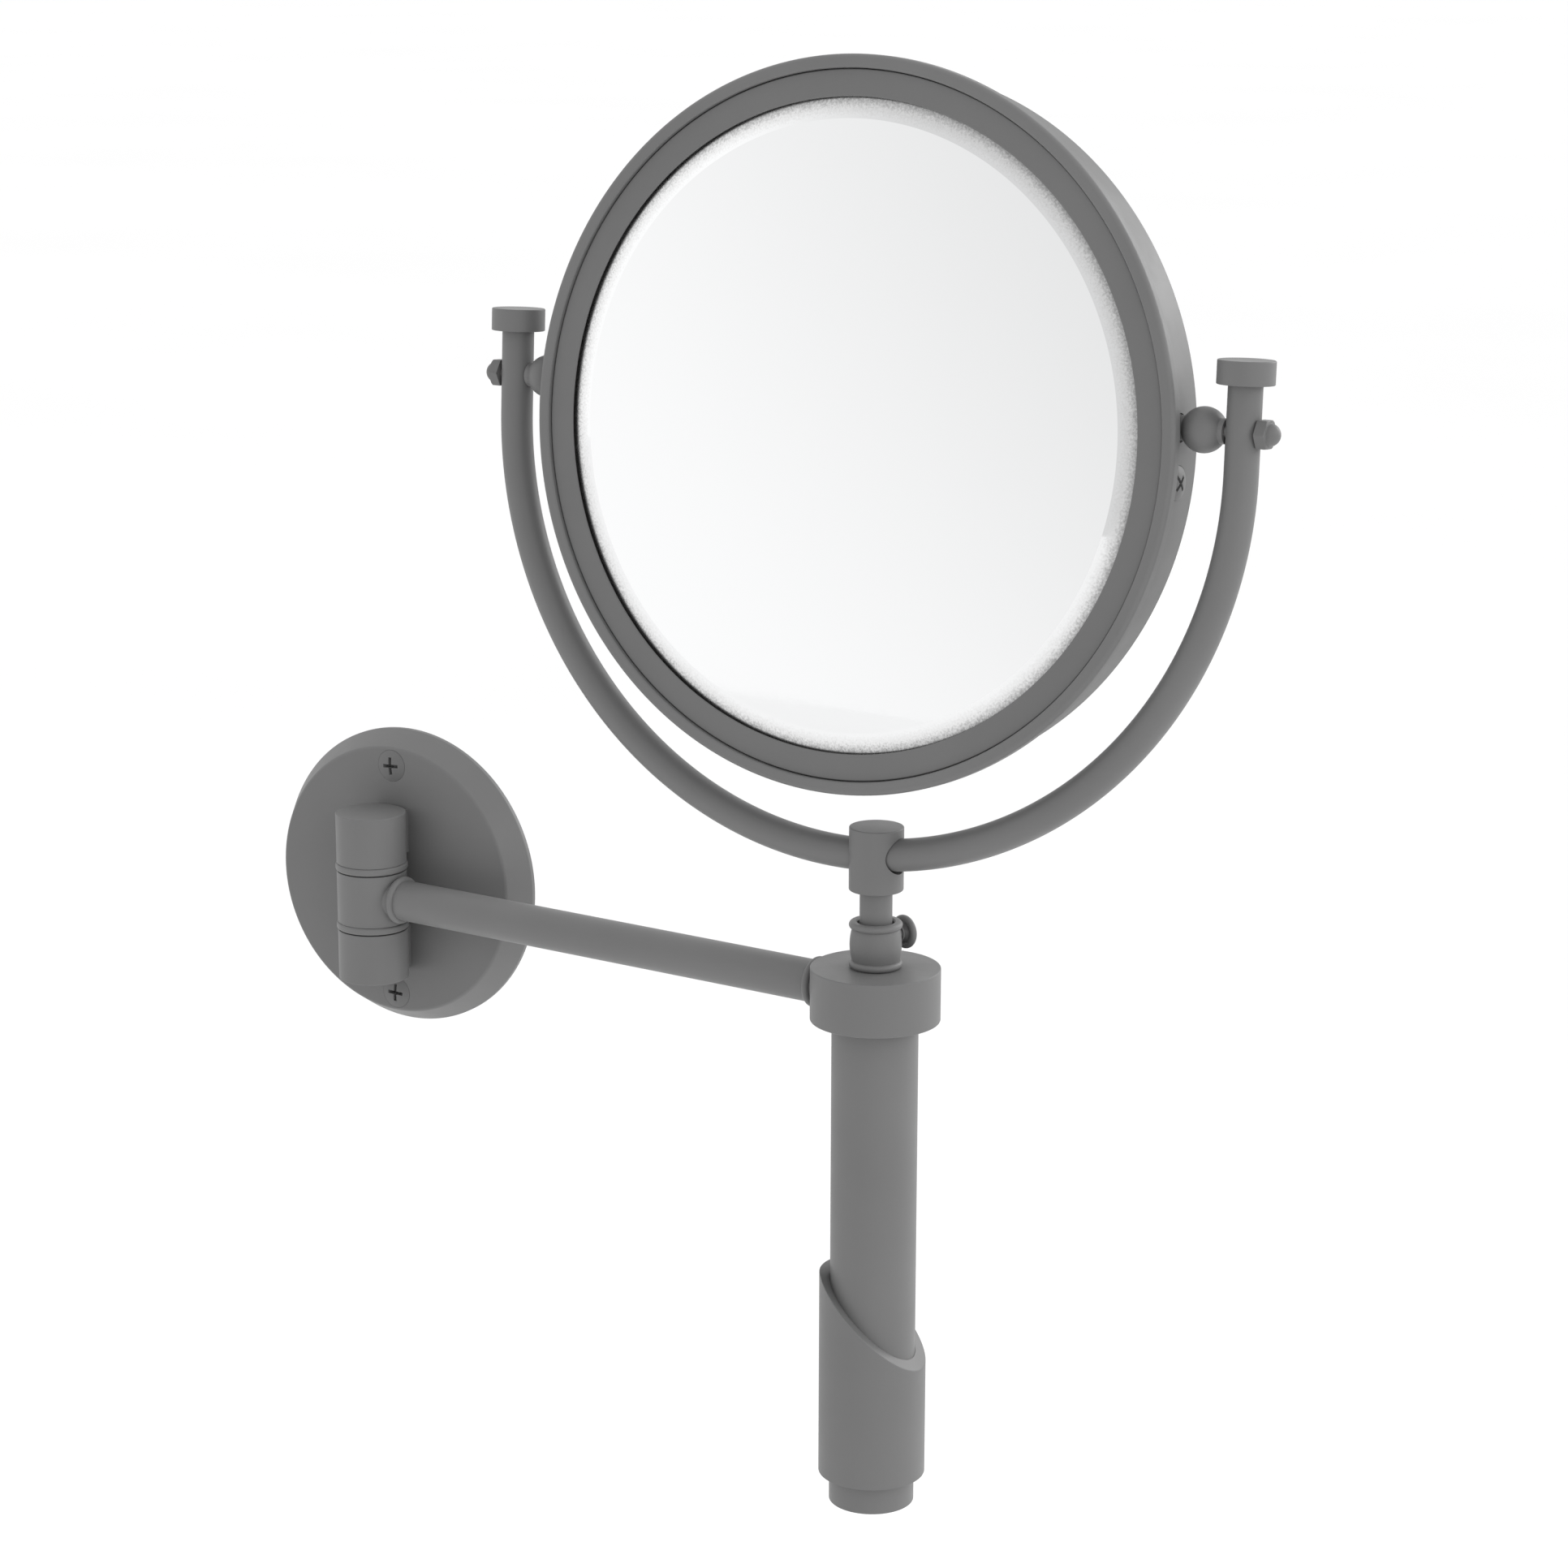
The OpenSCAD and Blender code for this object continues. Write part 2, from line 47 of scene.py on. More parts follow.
# ---------------------------------------------------------------- places
JOINTS = {j["name"]: j for j in frame["joints"]}
BODY_OF = {n: b for b, ns in frame["record"]["behaviour"]["bodies"].items() for n in ns}
UP = Vector((0, 0, 1))
HINGE = Vector(JOINTS["arm_swing"]["pos_m"])
POST = Vector(JOINTS["rod_swivel"]["pos_m"])
PIVOT = Vector(JOINTS["mirror_tilt"]["pos_m"])
TILT_AXIS = Vector(JOINTS["mirror_tilt"]["axis"]).normalized()
KNOB_AXIS = Vector(JOINTS["thumb_screw_turn"]["axis"]).normalized()
KNOB_POS = Vector(JOINTS["thumb_screw_turn"]["pos_m"])
ARM_DIR = Vector((POST.x - HINGE.x, POST.y - HINGE.y, 0)).normalized()
YOKE_LEAN, MIRROR_TILT = math.radians(3.5), math.radians(1.7)

# main sizes in millimetres, the same as the solid model's
PLATE_R, PLATE_T, PLATE_LAND, PLATE_FRONT_R = 48.0, 9.5, 1.6, 43.29
SCREW_PITCH, SCREW_HEAD_R, SCREW_NECK_R = 75.0, 5.1, 2.35
DOME_RISE = 0.9                  # of every screw head
BARREL_R, BEAD_R, BEAD_BULGE = 11.1, 10.75, 0.7
UPPER_KNUCKLE, LOWER_KNUCKLE, SWING_KNUCKLE = (8.9, 25.0), (-29.0, -12.9), (-10.3, 6.3)
BEAD_BOTTOMS = (("upper_bead", 6.6), ("lower_bead", -12.6))
ARM_R, ARM_Z, ARM_FROM, ARM_TO, ARM_LEN = 6.35, -2.0, 7.4, 175.3, 190.0
END_BEAD_R = 1.2                 # round beads at both ends of the arm
POST_R, COLLAR_R, SLEEVE_R = 12.7, 19.05, 15.9
COLLAR_TOP, COLLAR_ROOF, COLLAR_BOT = 5.95, 2.05, -9.95
COLLAR_BORE_R, COLLAR_MOUTH_R = 12.72, 6.6
POST_BORE_R, POST_TOP, PLUG_R, PLUG_TOP = 10.9, 1.5, 11.15, -153.0
POST_BOT, SLEEVE_BOT, SLEEVE_TOP = -159.95, -150.85, -87.55
CUT_Z, CUT_SLOPE, CUT_TURN = -101.09, math.radians(43.4), math.radians(9.65)
ROD_R, ROD_BOT, ROD_TOP, HUB_R = 4.76, -142.35, 34.0, 7.95
SPIGOT_R, CLAMP_BORE_R, CLAMP_ARC_R = 6.5, 4.9, 16.8
RING_MAJOR, RING_MINOR = 6.71, 1.12
RING_LO, RING_HI = 7.09, 18.76
CLAMP_Z, CLAMP_H, CLAMP_R = 7.79, 10.2, 7.6
HUB_BOT, HUB_TOP = 29.28, 48.04
YOKE_R, YOKE_C, PIVOT_Z, PIVOT_UP = 119.1, 119.5, 130.6, 7.4
YOKE_SHIFT = -10.4
BALL_R, NECK_R, NUT_FLAT, NUT_TALL, DOME_R = 6.35, 3.5, 3.8, 3.1, 3.15
CAP_R, CAP_Z, CAP_H = 7.95, 143.5, 6.6
HEAD_R, BAND_R, BAND_IN, BAND_TOP, FACE = 104.0, 100.8, 98.3, 7.9, 10.6
BEZEL_IN, BEZEL_BACK = 100.1, 6.72
RING_OUT, RING_IN, RING_FACE, RING_BACK = 99.85, 92.3, 9.3, 8.62
FRAME_SCREW_R, FRAME_SCREW_DROP = 4.7, 15.0
GLASS_FRONT, GLASS_BACK, GLASS_R = 8.9, 5.3, 95.3
BEVEL_W, BEVEL_DROP, REAR_DISH = 6.0, 1.0, 1.1


def basis(origin, z_dir, x_dir):
    """Frame with its Z along z_dir and its X as near x_dir as it can be."""
    z = z_dir.normalized()
    y = z.cross(x_dir).normalized()
    x = y.cross(z)
    m = Matrix((x, y, z)).transposed().to_4x4()
    m.translation = origin
    return m


X, Y = Vector((1, 0, 0)), Vector((0, 1, 0))
AT_WALL = basis(Vector((0, 0, 0)), -Y, X)
AT_HINGE = basis(Vector((HINGE.x, HINGE.y, 0)), UP, ARM_DIR)
AT_ARM = basis(Vector((HINGE.x, HINGE.y, ARM_Z * MM)), ARM_DIR, UP)
AT_POST = basis(Vector((POST.x, POST.y, 0)), UP, ARM_DIR)
AT_HUB = basis(Vector((POST.x, POST.y, 0)), UP, TILT_AXIS)
ROLL_UP = (UP - TILT_AXIS * UP.dot(TILT_AXIS)).normalized()
YOKE_UP = Matrix.Rotation(-YOKE_LEAN, 3, TILT_AXIS) @ ROLL_UP
HUB_POINT = PIVOT - YOKE_UP * PIVOT_Z * MM
AT_YOKE = basis(HUB_POINT, YOKE_UP, TILT_AXIS)
FACE_UP = Matrix.Rotation(-YOKE_LEAN - MIRROR_TILT, 3, TILT_AXIS) @ ROLL_UP
AT_FACE = basis(PIVOT - FACE_UP * PIVOT_UP * MM, TILT_AXIS.cross(FACE_UP), TILT_AXIS)
AT_KNOB = basis(Vector((POST.x, POST.y, KNOB_POS.z)), KNOB_AXIS, UP)


# ---------------------------------------------------------------- mesh tools
def rounded(corners, steps=6):
    """Outline whose (r, z, fillet) corners are rounded by arcs; (r, z) ones stay sharp."""
    n, out = len(corners), []
    for i, c in enumerate(corners):
        p = Vector(c[:2])
        f = c[2] if len(c) > 2 else 0
        if f <= 0:
            out.append(p)
            continue
        a = (Vector(corners[i - 1][:2]) - p).normalized()
        b = (Vector(corners[(i + 1) % n][:2]) - p).normalized()
        half = a.angle(b) / 2
        reach, hub = f / math.tan(half), f / math.sin(half)
        centre = p + (a + b).normalized() * hub
        s, e = p + a * reach - centre, p + b * reach - centre
        turn = s.angle_signed(e)
        for k in range(steps + 1):
            t = -turn * k / steps
            out.append(centre + Vector((s.x * math.cos(t) - s.y * math.sin(t),
                                        s.x * math.sin(t) + s.y * math.cos(t))))
    return out


def line(*corners):
    """Outline with sharp corners, from (r, z) pairs."""
    return [Vector(c) for c in corners]


def arc(cr, cz, radius, a0, a1, steps=12):
    """Points on an arc, angles in degrees from +r towards +z."""
    out = []
    for k in range(steps + 1):
        t = math.radians(a0 + (a1 - a0) * k / steps)
        out.append(Vector((cr + radius * math.cos(t), cz + radius * math.sin(t))))
    return out


def dome(edge_r, inset, base):
    """Arc of a screw head's shallow dome, from near its edge to its middle."""
    sphere_r = (edge_r ** 2 + DOME_RISE ** 2) / (2 * DOME_RISE)
    lip = math.degrees(math.asin((edge_r - inset) / sphere_r))
    out = arc(0, base + DOME_RISE - sphere_r, sphere_r, 90 - lip, 90, 10)
    out[-1].x = 0
    return out


def lathe(bm, outline, place, seg=ROUND):
    """Turns a closed (r, z) outline in mm about the place's Z axis."""
    rows = []
    for p in outline:
        if p[0] < 1e-6:
            rows.append([bm.verts.new(place @ Vector((0, 0, p[1] * MM)))])
        else:
            rows.append([bm.verts.new(place @ Vector((p[0] * MM * math.cos(t), p[0] * MM * math.sin(t),
                                                      p[1] * MM)))
                         for t in (2 * math.pi * k / seg for k in range(seg))])
    for a, b in zip(rows, rows[1:] + rows[:1]):
        if len(a) == 1 and len(b) == 1:
            continue
        for k in range(seg):
            j = (k + 1) % seg
            if len(a) == 1:
                bm.faces.new((a[0], b[j], b[k]))
            elif len(b) == 1:
                bm.faces.new((a[k], a[j], b[0]))
            else:
                bm.faces.new((a[k], a[j], b[j], b[k]))


def rings(bm, loops, cap=True):
    """Skins a list of equal closed loops of points, with flat ends if asked."""
    rows = [[bm.verts.new(p) for p in loop] for loop in loops]
    n = len(rows[0])
    for a, b in zip(rows, rows[1:]):
        for k in range(n):
            j = (k + 1) % n
            bm.faces.new((a[k], a[j], b[j], b[k]))
    if cap:
        bm.faces.new(list(reversed(rows[0])))
        bm.faces.new(rows[-1])


def finish_mesh(name, bm, sharp=32):
    """Turns the built faces into a smooth-shaded object with sharp edges past an angle."""
    bmesh.ops.recalc_face_normals(bm, faces=bm.faces)
    mesh = bpy.data.meshes.new(name)
    bm.to_mesh(mesh)
    bm.free()
    mesh.shade_smooth()
    mesh.set_sharp_from_angle(angle=math.radians(sharp))
    obj = bpy.data.objects.new(name, mesh)
    bpy.context.scene.collection.objects.link(obj)
    return obj


def carve(obj, cutter_bm):
    """Cuts the cutter out of obj and throws the cutter away."""
    cutter = finish_mesh("cutter", cutter_bm)
    mod = obj.modifiers.new("cut", "BOOLEAN")
    mod.operation, mod.solver, mod.object = "DIFFERENCE", "EXACT", cutter
    bpy.context.view_layer.update()
    cut = bpy.data.meshes.new_from_object(obj.evaluated_get(bpy.context.evaluated_depsgraph_get()))
    obj.modifiers.clear()
    obj.data = cut
    cut.set_sharp_from_angle(angle=math.radians(32))
    bpy.data.objects.remove(cutter)


def piece(name, bm, material, slot, *nodes, sharp=32, cutters=()):
    """Makes the object, gives it its material and body, and hides the solids it stands for."""
    obj = finish_mesh(name, bm, sharp)
    for c in cutters:
        carve(obj, c)
    obj.data.materials.clear()
    obj.data.materials.append(material)
    mod = obj.modifiers.new("even", "WEIGHTED_NORMAL")
    mod.keep_sharp, mod.weight = True, 80
    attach(obj, BODY_OF[nodes[0]])
    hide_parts(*nodes)
    return obj


def turned(name, corners, place, material, slot, *nodes, seg=ROUND, cutters=()):
    """One turned piece from the corners of its outline."""
    bm = bmesh.new()
    lathe(bm, rounded(corners), place, seg)
    return piece(name, bm, material, slot, *nodes, cutters=cutters)


# ---------------------------------------------------------------- materials
def node_tools(name):
    mat = bpy.data.materials.new(name)
    mat.use_nodes = True
    nt = mat.node_tree
    nt.nodes.clear()
    out = nt.nodes.new("ShaderNodeOutputMaterial")
    shader = nt.nodes.new("ShaderNodeBsdfPrincipled")
    nt.links.new(shader.outputs[0], out.inputs["Surface"])
    coords = nt.nodes.new("ShaderNodeTexCoord").outputs["Object"]
    return mat, nt, shader, coords


def noise(nt, coords, scale, detail=3, rough=0.5):
    n = nt.nodes.new("ShaderNodeTexNoise")
    n.inputs["Scale"].default_value = scale
    n.inputs["Detail"].default_value = detail
    n.inputs["Roughness"].default_value = rough
    nt.links.new(coords, n.inputs["Vector"])
    return n.outputs["Fac"]


def span(nt, value, lo, hi, src=(0.3, 0.7)):
    m = nt.nodes.new("ShaderNodeMapRange")
    m.inputs["From Min"].default_value, m.inputs["From Max"].default_value = src
    m.inputs["To Min"].default_value, m.inputs["To Max"].default_value = lo, hi
    nt.links.new(value, m.inputs["Value"])
    return m.outputs["Result"]


def ramp(nt, value, stops):
    r = nt.nodes.new("ShaderNodeValToRGB")
    els = r.color_ramp.elements
    while len(els) < len(stops):
        els.new(0.5)
    for el, (pos, col) in zip(els, stops):
        el.position, el.color = pos, (*col, 1)
    nt.links.new(value, r.inputs["Fac"])
    return r.outputs["Color"]


def bump(nt, shader, layers):
    last = None
    for height, distance, strength in layers:
        b = nt.nodes.new("ShaderNodeBump")
        b.inputs["Distance"].default_value = distance
        b.inputs["Strength"].default_value = strength
        nt.links.new(height, b.inputs["Height"])
        if last:
            nt.links.new(last, b.inputs["Normal"])
        last = b.outputs["Normal"]
    nt.links.new(last, shader.inputs["Normal"])


def grey(v, tint=0.0):
    return (v * (1 - tint), v, v * (1 + tint))


def paint(name, shade=0.159):
    """Matte grey powder coat: even colour, fine orange peel, faint handling marks."""
    mat, nt, shader, co = node_tools(name)
    broad, peel, grain = noise(nt, co, 22, 3), noise(nt, co, 900, 2), noise(nt, co, 3200, 2)
    nt.links.new(ramp(nt, broad, [(0.3, grey(shade * 0.96)), (0.7, grey(shade * 1.04))]),
                 shader.inputs["Base Color"])
    nt.links.new(span(nt, noise(nt, co, 60, 4, 0.6), 0.43, 0.53), shader.inputs["Roughness"])
    shader.inputs["Specular IOR Level"].default_value = 0.36
    bump(nt, shader, [(peel, 0.00004, 0.25), (grain, 0.00001, 0.3)])
    return mat


def steel(name):
    """Plain turned steel, finely mottled."""
    mat, nt, shader, co = node_tools(name)
    nt.links.new(ramp(nt, noise(nt, co, 240, 4), [(0.3, grey(0.46)), (0.7, grey(0.56))]),
                 shader.inputs["Base Color"])
    shader.inputs["Metallic"].default_value = 1.0
    nt.links.new(span(nt, noise(nt, co, 700, 3), 0.28, 0.42), shader.inputs["Roughness"])
    bump(nt, shader, [(noise(nt, co, 1800, 2), 0.00001, 0.4)])
    return mat


def nylon(name, shade):
    """Slightly waxy plastic."""
    mat, nt, shader, co = node_tools(name)
    nt.links.new(ramp(nt, noise(nt, co, 90, 3), [(0.3, (shade, shade * 0.98, shade * 0.92)),
                                                 (0.7, (shade * 1.08, shade * 1.06, shade))]),
                 shader.inputs["Base Color"])
    nt.links.new(span(nt, noise(nt, co, 400, 2), 0.42, 0.55), shader.inputs["Roughness"])
    shader.inputs["Subsurface Weight"].default_value = 0.05
    bump(nt, shader, [(noise(nt, co, 1500, 2), 0.00001, 0.3)])
    return mat


def silvering(name, place, edge_from, edge_to):
    """Silvered glass: light in the middle, with a painted dark reflection in the colour towards the cut edge, and
    faint wiping haze.
    """
    mat, nt, shader, co = node_tools(name)
    flat = nt.nodes.new("ShaderNodeVectorMath")
    flat.operation = "SUBTRACT"
    nt.links.new(co, flat.inputs[0])
    flat.inputs[1].default_value = place.translation
    dist = nt.nodes.new("ShaderNodeVectorMath")
    dist.operation = "LENGTH"
    nt.links.new(flat.outputs[0], dist.inputs[0])
    radius = dist.outputs["Value"]
    fuzz = nt.nodes.new("ShaderNodeMath")
    fuzz.operation = "ADD"
    nt.links.new(radius, fuzz.inputs[0])
    nt.links.new(span(nt, noise(nt, co, 1600, 3), -0.0009, 0.0009), fuzz.inputs[1])
    # painted reflection: the base colour darkens across the rim, standing in for the reflection seen at the glass
    # edge
    edge = span(nt, fuzz.outputs[0], 0, 1, (edge_from * MM, edge_to * MM))
    nt.links.new(ramp(nt, edge, [(0.0, grey(0.90, 0.004)), (0.45, grey(0.78)), (1.0, grey(0.34))]),
                 shader.inputs["Base Color"])
    shader.inputs["Metallic"].default_value = 1.0
    haze = span(nt, noise(nt, co, 35, 5, 0.6), 0.015, 0.05, (0.4, 0.75))
    rough = nt.nodes.new("ShaderNodeMath")
    rough.operation = "ADD"
    nt.links.new(haze, rough.inputs[0])
    nt.links.new(span(nt, fuzz.outputs[0], 0, 0.3, (edge_from * MM, edge_to * MM)), rough.inputs[1])
    nt.links.new(rough.outputs[0], shader.inputs["Roughness"])
    return mat


PAINT = paint("grey_powder_coat")
# darker copy of the same grey paint: painted shade on the screw heads and acorn nuts
PAINT_SCREW_SHADED = paint("grey_paint_shaded_on_screws", 0.145)
# darker copy of the same grey paint: painted shade on the rings recessed under the bezel lip
PAINT_RING_SHADED = paint("grey_paint_shaded_on_ring", 0.148)
STEEL = steel("plain_steel")
NYLON = nylon("nylon", 0.62)
# painted shade: near black nylon for the pivot bushes, standing for the dark shaded gap between ball and band
GAP_SHADE_NYLON = nylon("nylon_painted_black_as_gap_shade", 0.05)
CORE = paint("dark_core_board", 0.08)
# the last two numbers bound the painted dark rim reflection and the rougher rim, in mm from the centre
FRONT_SILVER = silvering("front_mirror_glass", AT_FACE, 87.5, 92.6)
REAR_SILVER = silvering("rear_mirror_glass", AT_FACE, 88.5, 92.8)


# ---------------------------------------------------------------- wall plate and hinge
def shift(place, x=0, y=0, z=0):
    return place @ Matrix.Translation(Vector((x, y, z)) * MM)


def cross_cutter(place, length, wide, deep, taper):
    """Cross recess with tapering walls, its mouth at the place's z = 0."""
    bm = bmesh.new()
    a, b = length / 2, wide / 2
    flat = [(a, -b), (a, b), (b, b), (b, a), (-b, a), (-b, b), (-a, b), (-a, -b), (-b, -b),
            (-b, -a), (b, -a), (b, -b)]
    loops = []
    for z, k in ((-deep, taper), (0, 1), (2, 1)):
        loops.append([place @ (Vector((x * k, y * (k + 1) / 2, z)) * MM) for x, y in flat])
    rings(bm, loops)
    return bm


def backplate():
    cuts = []
    for s in (-1, 1):
        bm = bmesh.new()
        lathe(bm, line((0, -1), (2.7, -1), (2.7, 7.0), (5.17, 9.46), (5.17, 11), (0, 11)),
              shift(AT_WALL, 0, s * SCREW_PITCH / 2), 64)
        cuts.append(bm)
    turned("wall_plate", [(0, 0), (PLATE_R, 0, 0.3), (PLATE_R, PLATE_LAND, 0.8),
                          (PLATE_FRONT_R, PLATE_T, 1.3), (0, PLATE_T)],
           AT_WALL, PAINT, "paint", "backplate", cutters=cuts, seg=192)


def wall_screws():
    """Heads with their crosses; each plain neck stops at the plate's back, with no shank in the wall."""
    bm = bmesh.new()
    cuts = []
    for s in (-1, 1):
        at = shift(AT_WALL, 0, s * SCREW_PITCH / 2)
        head = line((0, 6.5), (2.1, 6.5), (2.4, 6.95), (5.03, PLATE_T - 0.12), (5.09, PLATE_T + 0.02))
        head += dome(SCREW_HEAD_R, 0.25, PLATE_T)
        lathe(bm, head, at, 72)
        cuts.append(cross_cutter(shift(at, 0, 0, PLATE_T + 0.95) @ Matrix.Rotation(s * 0.05, 4, "Z"),
                                 5.7, 1.1, 2.6, 0.75))
        lathe(bm, line((0, -0.6), (SCREW_NECK_R, -0.3), (SCREW_NECK_R, 6.9), (0, 6.9)), at, 48)
    piece("wall_screw_pair", bm, PAINT_SCREW_SHADED, "paint", "wall_screws", cutters=cuts)


def hinge():
    for name, (z0, z1), soft in (("upper_knuckle", UPPER_KNUCKLE, 0.25),
                                 ("lower_knuckle", LOWER_KNUCKLE, 0.25),
                                 ("swing_knuckle", SWING_KNUCKLE, 0.2)):
        turned(name + "_turned", [(0, z0), (BARREL_R, z0, soft), (BARREL_R, z1, soft), (0, z1)],
               AT_HINGE, PAINT, "paint", name)
    for name, z0 in BEAD_BOTTOMS:
        bm = bmesh.new()
        edge = line((3.1, z0), (BEAD_R, z0))
        edge += arc(BEAD_R, z0 + BEAD_BULGE, BEAD_BULGE, -90, 0, 6)
        edge += arc(BEAD_R, z0 + 1.6, BEAD_BULGE, 0, 90, 6)
        edge += line((3.1, z0 + 2.3))
        lathe(bm, edge, AT_HINGE)
        piece(name + "_turned", bm, PAINT, "paint", name)


# ---------------------------------------------------------------- arm
def arm():
    turned("arm_turned", [(0, ARM_FROM), (ARM_R, ARM_FROM), (ARM_R, ARM_TO), (0, ARM_TO)],
           AT_ARM, PAINT, "paint", "arm_tube", seg=96)
    for name, z in (("arm_root_bead", BARREL_R + 1.22), ("arm_end_bead", ARM_LEN - COLLAR_R - 1.22)):
        bm = bmesh.new()
        lathe(bm, arc(ARM_R + 0.05, z, END_BEAD_R, 0, 345, 23), AT_ARM, 96)
        piece(name + "_turned", bm, PAINT, "paint", name)


# ---------------------------------------------------------------- post
def post():
    turned("collar_turned", [(COLLAR_BORE_R, COLLAR_BOT), (COLLAR_R, COLLAR_BOT, 0.35),
                             (COLLAR_R, COLLAR_TOP, 0.35), (COLLAR_MOUTH_R, COLLAR_TOP),
                             (COLLAR_MOUTH_R, COLLAR_ROOF), (COLLAR_BORE_R, COLLAR_ROOF)],
           AT_POST, PAINT, "paint", "post_collar")
    turned("post_tube_turned", [(POST_BORE_R, POST_BOT + 0.1), (POST_R, POST_BOT, 0.3),
                                (POST_R, POST_TOP), (POST_BORE_R, POST_TOP)],
           AT_POST, PAINT, "paint", "post_tube")
    turned("end_plug_turned", [(0, POST_BOT + 0.35), (PLUG_R, POST_BOT + 0.35, 0.2),
                               (PLUG_R, PLUG_TOP), (0, PLUG_TOP)],
           AT_POST, PAINT, "paint", "end_plug", seg=96)
    slant_sleeve()


def slant_sleeve():
    """Sleeve with a flat tip and a plane slanting down across it, all edges softened."""
    bm = bmesh.new()
    seg, lip, soft = 240, 0.25, 0.8
    inner = POST_R + 0.02
    turn = CUT_TURN - math.atan2(ARM_DIR.y, ARM_DIR.x)

    def end_height(r, t):
        slope = CUT_Z - r * math.cos(t - turn) * math.tan(CUT_SLOPE)
        return (slope + SLEEVE_TOP - math.sqrt((slope - SLEEVE_TOP) ** 2 + soft ** 2)) / 2

    rows = [(inner, SLEEVE_BOT, 0), (SLEEVE_R - lip, SLEEVE_BOT, 0),
            (SLEEVE_R - lip * 0.3, SLEEVE_BOT + lip * 0.3, 0), (SLEEVE_R, SLEEVE_BOT + lip, 0),
            (SLEEVE_R, -2.2 * lip, 1), (SLEEVE_R, -1.2 * lip, 1), (SLEEVE_R - lip * 0.2, -0.5 * lip, 1),
            (SLEEVE_R - lip * 0.6, -0.1 * lip, 1), (SLEEVE_R - lip, 0, 1), (inner + lip * 0.5, 0, 1),
            (inner, -lip * 0.5, 1)]
    loops = []
    for r, z, on_cut in rows:
        loop = []
        for k in range(seg):
            t = 2 * math.pi * k / seg
            height = end_height(r, t) + z if on_cut else z
            loop.append(AT_POST @ (Vector((r * math.cos(t), r * math.sin(t), height)) * MM))
        loops.append(loop)
    rings(bm, loops + [loops[0]], cap=False)
    bmesh.ops.remove_doubles(bm, verts=bm.verts, dist=1e-6)
    piece("sleeve_cut", bm, PAINT, "paint", "slant_sleeve")


# ---------------------------------------------------------------- clamp
def clamp():
    for name, z, bore in (("clamp_lower_ring", RING_LO, COLLAR_MOUTH_R),
                          ("clamp_upper_ring", RING_HI, 5.36)):
        bm = bmesh.new()
        edge = line((bore + 0.25, z - RING_MINOR), (RING_MAJOR, z - RING_MINOR))
        edge += arc(RING_MAJOR, z, RING_MINOR, -80, 90, 16)
        edge += line((bore + 0.4, z + RING_MINOR - 0.06), (bore, z + RING_MINOR - 0.45),
                     (bore, z - RING_MINOR + 0.25))
        lathe(bm, edge, AT_POST, 96)
        piece(name + "_turned", bm, PAINT, "paint", name)
    mid = CLAMP_Z + CLAMP_H / 2
    half = math.degrees(math.asin(CLAMP_H / 2 / CLAMP_ARC_R))
    outline = line((CLAMP_BORE_R, 2.1), (SPIGOT_R, 2.1), (SPIGOT_R, CLAMP_Z))
    outline += arc(CLAMP_R - CLAMP_ARC_R, mid, CLAMP_ARC_R, -half, half, 20)
    outline += line((CLAMP_BORE_R, CLAMP_Z + CLAMP_H))
    bm = bmesh.new()
    lathe(bm, outline, AT_POST, 96)
    stem_hole = bmesh.new()
    lathe(stem_hole, line((0, 4), (2.08, 4), (2.08, 12), (0, 12)), AT_KNOB, 48)
    piece("clamp_body_turned", bm, PAINT, "paint", "clamp_body", cutters=(stem_hole,))
    knob()


def knob():
    """Thumb screw: plain stem, neck bead and a dished disc with a rolled rim."""
    bm = bmesh.new()
    outline = line((0, 5.92), (1.8, 5.92), (2.0, 6.15), (2.0, 8.5))
    outline += arc(2.3, 8.8, 0.3, -80, 80, 8)
    outline += line((2.0, 9.1), (2.0, 9.8), (2.3, 10.25), (2.75, 10.6), (3.3, 10.65))
    outline += arc(3.95, 11.05, 1.04, -120, 110, 14)
    outline += line((3.1, 11.75), (2.3, 11.9), (1.2, 12.25), (0, 12.35))
    lathe(bm, outline, AT_KNOB, 96)
    piece("thumb_screw_turned", bm, PAINT, "paint", "thumb_screw", sharp=50)


# ---------------------------------------------------------------- rod, hub and yoke
def rod_and_hub():
    turned("lift_rod_turned", [(0, ROD_BOT), (ROD_R, ROD_BOT, 0.4), (ROD_R, ROD_TOP), (0, ROD_TOP)],
           AT_HUB, PAINT, "paint", "lift_rod", seg=96)
    slope = math.asin(-YOKE_SHIFT / YOKE_R)
    drop = YOKE_C - math.sqrt(YOKE_R ** 2 - YOKE_SHIFT ** 2)
    mid = AT_YOKE @ Matrix.Translation(Vector((-YOKE_SHIFT, 0, drop - 0.1)) * MM)
    along = mid @ Matrix.Rotation(math.pi / 2 - slope, 4, "Y")
    bore = bmesh.new()
    lathe(bore, line((0, -12), (ROD_R + 0.5, -12), (ROD_R + 0.5, 12), (0, 12)), along, 96)
    turned("hub_turned", [(0, HUB_BOT), (HUB_R, HUB_BOT, 0.35), (HUB_R, HUB_TOP, 0.35), (0, HUB_TOP)],
           AT_HUB, PAINT, "paint", "yoke_hub", cutters=(bore,), seg=128)


